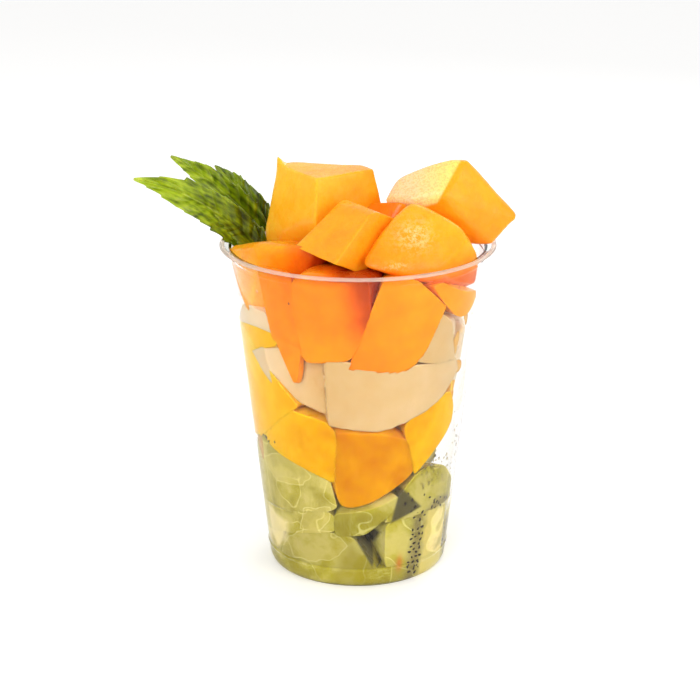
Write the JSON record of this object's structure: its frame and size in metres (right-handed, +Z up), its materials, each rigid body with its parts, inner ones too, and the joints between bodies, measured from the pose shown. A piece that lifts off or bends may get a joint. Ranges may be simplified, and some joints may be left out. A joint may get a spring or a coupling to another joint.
{
  "type": "fruit cup",
  "caption": "Clear plastic cup packed in layers with cut kiwi, mango, pale melon and papaya, heaped above the rim, with a sprig of mint.",
  "frame": {"origin": "the middle of the whole in plan, on the table under the foot of the cup", "axes": "+Z up along the cup, -Y towards the side of the cup shown in front, +X to the right seen from the front"},
  "size_m": [0.1346, 0.098, 0.1503],
  "materials": {
    "clear_plastic": "thin clear thermoformed plastic, glossy",
    "papaya": "wet cut papaya flesh, orange, softly glossy",
    "melon": "wet cut pale melon flesh, cream",
    "mango": "wet cut ripe mango flesh, golden yellow",
    "kiwi": "wet cut kiwi flesh, yellow green with a pale core and dark seeds",
    "mint": "fresh mint leaf, matt, quilted between the veins"
  },
  "bodies": {
    "root": {"cup": "clear_plastic", "kiwi_base_left": "kiwi", "kiwi_base_right": "kiwi", "kiwi_core": "kiwi", "kiwi_core_left": "kiwi", "kiwi_high_back_1": "kiwi", "kiwi_high_back_2": "kiwi", "kiwi_high_back_3": "kiwi", "kiwi_high_side": "kiwi", "kiwi_low_back_1": "kiwi", "kiwi_low_back_2": "kiwi", "kiwi_low_back_3": "kiwi", "kiwi_low_side": "kiwi", "kiwi_middle": "kiwi", "kiwi_middle_left": "kiwi", "kiwi_set_back": "kiwi", "kiwi_upper_left": "kiwi", "kiwi_upper_right": "kiwi", "mango_back_1": "mango", "mango_back_2": "mango", "mango_back_3": "mango", "mango_core": "mango", "mango_far_left": "mango", "mango_side": "mango", "mango_slip_left": "mango", "mango_slip_right": "mango", "mango_wall_centre": "mango", "mango_wall_left": "mango", "mango_wall_right": "mango", "melon_back_1": "melon", "melon_back_2": "melon", "melon_back_3": "melon", "melon_core": "melon", "melon_far_left": "melon", "melon_far_right": "melon", "melon_side": "melon", "melon_wall_left": "melon", "melon_wall_right": "melon", "mint_sprig": "mint", "papaya_back_1": "papaya", "papaya_back_2": "papaya", "papaya_back_3": "papaya", "papaya_core": "papaya", "papaya_heap_back_1": "papaya", "papaya_heap_back_2": "papaya", "papaya_heap_back_3": "papaya", "papaya_heap_back_4": "papaya", "papaya_heap_core": "papaya", "papaya_heap_cube": "papaya", "papaya_heap_middle": "papaya", "papaya_heap_rounded": "papaya", "papaya_heap_skin_wedge": "papaya", "papaya_heap_slab": "papaya", "papaya_rim_left": "papaya", "papaya_side": "papaya", "papaya_tongue": "papaya", "papaya_wall_centre": "papaya", "papaya_wall_far_right": "papaya", "papaya_wall_left": "papaya", "papaya_wall_right": "papaya"}
  },
  "joints": []
}
